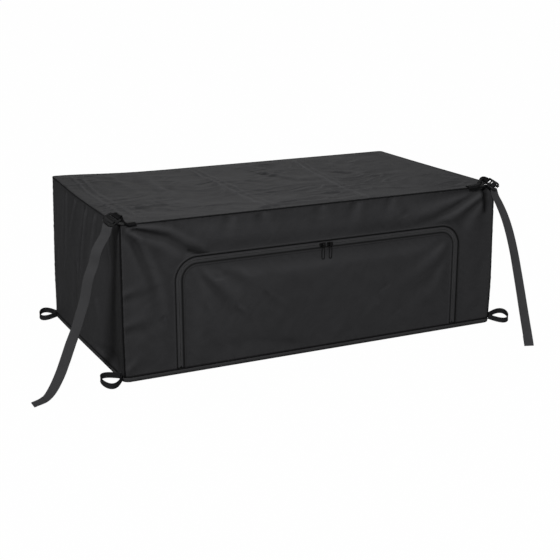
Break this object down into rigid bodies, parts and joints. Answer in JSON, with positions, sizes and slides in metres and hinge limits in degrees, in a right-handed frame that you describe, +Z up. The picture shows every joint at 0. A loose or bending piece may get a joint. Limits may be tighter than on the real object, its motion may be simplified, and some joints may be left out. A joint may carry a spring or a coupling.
{
  "type": "truck bed cargo bag",
  "caption": "Soft box-shaped cargo bag for a truck bed, with a zip door in its front, piped seams, tie loops at its feet and tie straps on ladder locks at its top front corners.",
  "frame": {"origin": "middle of the base, on the surface the bag stands on", "axes": "+X along the bag's length to the right as seen from the door, -Y out of the door, +Z up"},
  "size_m": [1.6584, 1.0297, 0.5187],
  "materials": {
    "coated_cloth": "coated weave",
    "piping": "bound cord",
    "zip_tape": "woven",
    "zip_coil": "nylon coil",
    "slider_metal": "black lacquer",
    "webbing": "woven webbing",
    "moulded_plastic": "moulded"
  },
  "bodies": {
    "bag": {"top_panel": "coated_cloth", "base_panel": "coated_cloth", "base_band": "coated_cloth", "front_panel": "coated_cloth", "door_panel": "coated_cloth", "back_panel": "coated_cloth", "left_side_panel": "coated_cloth", "right_side_panel": "coated_cloth", "top_piping": "piping", "base_piping": "piping", "corner_piping_front_left": "piping", "corner_piping_front_right": "piping", "corner_piping_back_left": "piping", "corner_piping_back_right": "piping", "zip_tape_outer": "zip_tape", "zip_chain_outer": "zip_coil", "zip_tape_inner": "zip_tape", "zip_chain_inner": "zip_coil", "zip_stop_left": "slider_metal", "anchor_webbing_left": "webbing", "zip_stop_right": "slider_metal", "anchor_webbing_right": "webbing", "tie_loop_front_left": "webbing", "tie_loop_front_right": "webbing", "tie_loop_back_left": "webbing", "tie_loop_back_right": "webbing"},
    "slider_left": {"zip_slider_left": "slider_metal"},
    "pull_left": {"zip_pull_left": "slider_metal"},
    "lock_left": {"ladder_lock_left": "moulded_plastic", "tie_strap_left": "webbing"},
    "slider_right": {"zip_slider_right": "slider_metal"},
    "pull_right": {"zip_pull_right": "slider_metal"},
    "lock_right": {"ladder_lock_right": "moulded_plastic", "tie_strap_right": "webbing"}
  },
  "joints": [
    {"name": "zip_slider_left_slide", "type": "slide", "parent": "bag", "child": "slider_left", "axis": [-1, 0, 0], "range_m": [0, 0.4]},
    {"name": "zip_pull_left_swing", "type": "hinge", "parent": "slider_left", "child": "pull_left", "pos_m": [0.01, -0.3694, 0.352], "axis": [-1, 0, 0], "range_deg": [0, 170]},
    {"name": "zip_slider_right_slide", "type": "slide", "parent": "bag", "child": "slider_right", "axis": [1, 0, 0], "range_m": [0, 0.4]},
    {"name": "zip_pull_right_swing", "type": "hinge", "parent": "slider_right", "child": "pull_right", "pos_m": [0.036, -0.3694, 0.352], "axis": [-1, 0, 0], "range_deg": [0, 170]},
    {"name": "ladder_lock_left_lift", "type": "hinge", "parent": "bag", "child": "lock_left", "pos_m": [-0.6555, -0.357, 0.5075], "axis": [-0.515, 0.7423, 0.4286], "range_deg": [0, 110]},
    {"name": "ladder_lock_right_lift", "type": "hinge", "parent": "bag", "child": "lock_right", "pos_m": [0.6335, -0.355, 0.4975], "axis": [-0.866, -0.433, -0.25], "range_deg": [0, 110]}
  ]
}
